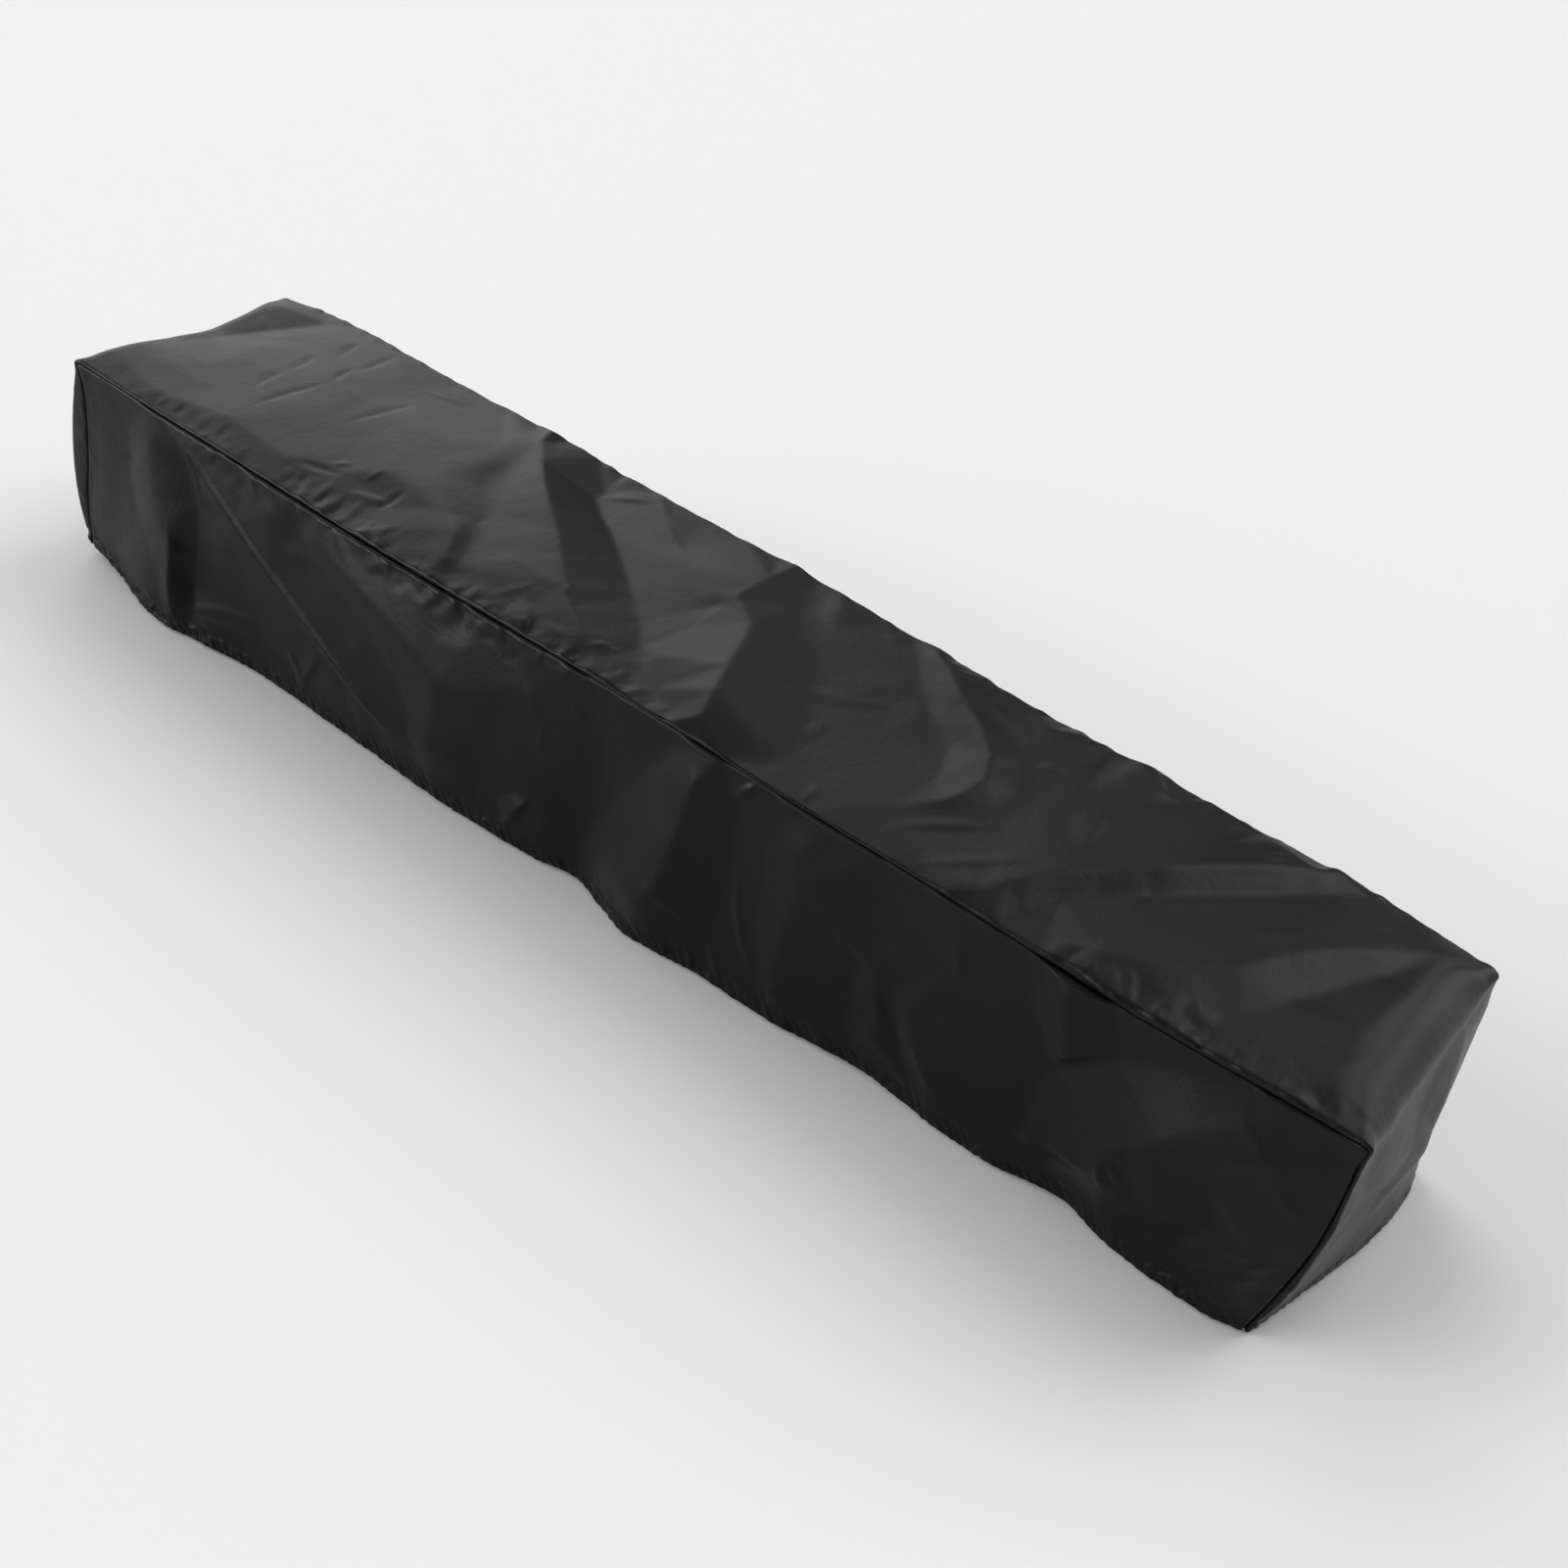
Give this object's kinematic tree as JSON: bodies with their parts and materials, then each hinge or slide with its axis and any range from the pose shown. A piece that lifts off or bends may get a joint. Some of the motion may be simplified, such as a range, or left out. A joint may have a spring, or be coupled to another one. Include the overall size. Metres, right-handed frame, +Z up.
{
  "type": "piano cover",
  "caption": "Fitted rectangular dust cover of thin black taffeta for a long keyboard, open underneath, with sewn corners and a gathered hem",
  "frame": {"origin": "under the middle of the top panel, at the height of the top edge of the instrument that the cover fits over", "axes": "+X along the length towards the right end, -Y the front, +Z up"},
  "size_m": [1.4175, 0.3112, 0.2387],
  "materials": {
    "black_taffeta": "thin close plain-weave black taffeta with a satin sheen and sharp creases"
  },
  "bodies": {
    "root": {"top_and_ends": "black_taffeta", "front_panel": "black_taffeta", "back_panel": "black_taffeta"}
  },
  "joints": []
}
